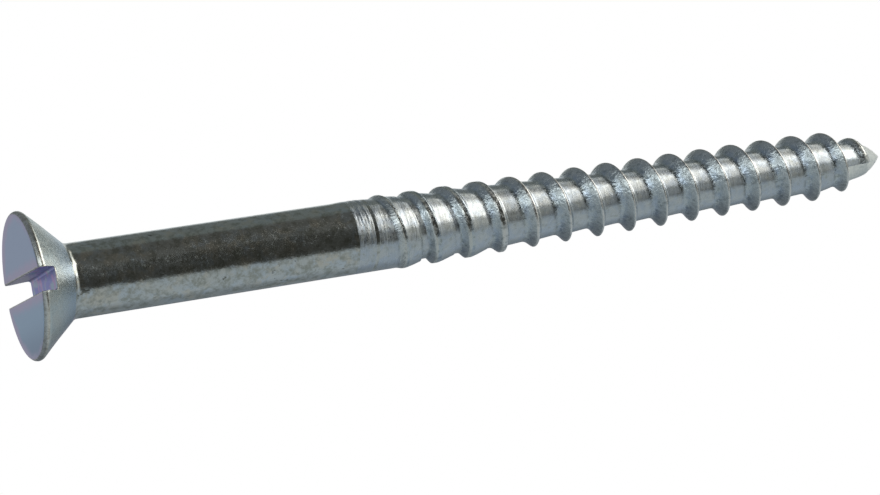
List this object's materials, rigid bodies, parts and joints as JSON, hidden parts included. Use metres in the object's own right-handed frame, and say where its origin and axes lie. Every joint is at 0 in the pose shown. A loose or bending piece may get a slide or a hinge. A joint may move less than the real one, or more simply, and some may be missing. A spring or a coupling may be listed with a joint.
{
  "type": "flat head wood screw",
  "caption": "Slotted countersunk wood screw with a partly plain shank, a coarse right-hand thread and a rounded point.",
  "frame": {"origin": "centre of the head's flat face, on the screw's axis; the screw stands on this face", "axes": "+Z along the axis from the head to the point; X along the driver slot; +Y completes a right-handed frame"},
  "size_m": [0.0118, 0.012, 0.08],
  "materials": {
    "zinc_plated_steel": "bright zinc plating with a blue and violet passivation tint, mottled on the shank and speckled on the thread's crests"
  },
  "bodies": {
    "root": {"screw": "zinc_plated_steel"}
  },
  "joints": []
}
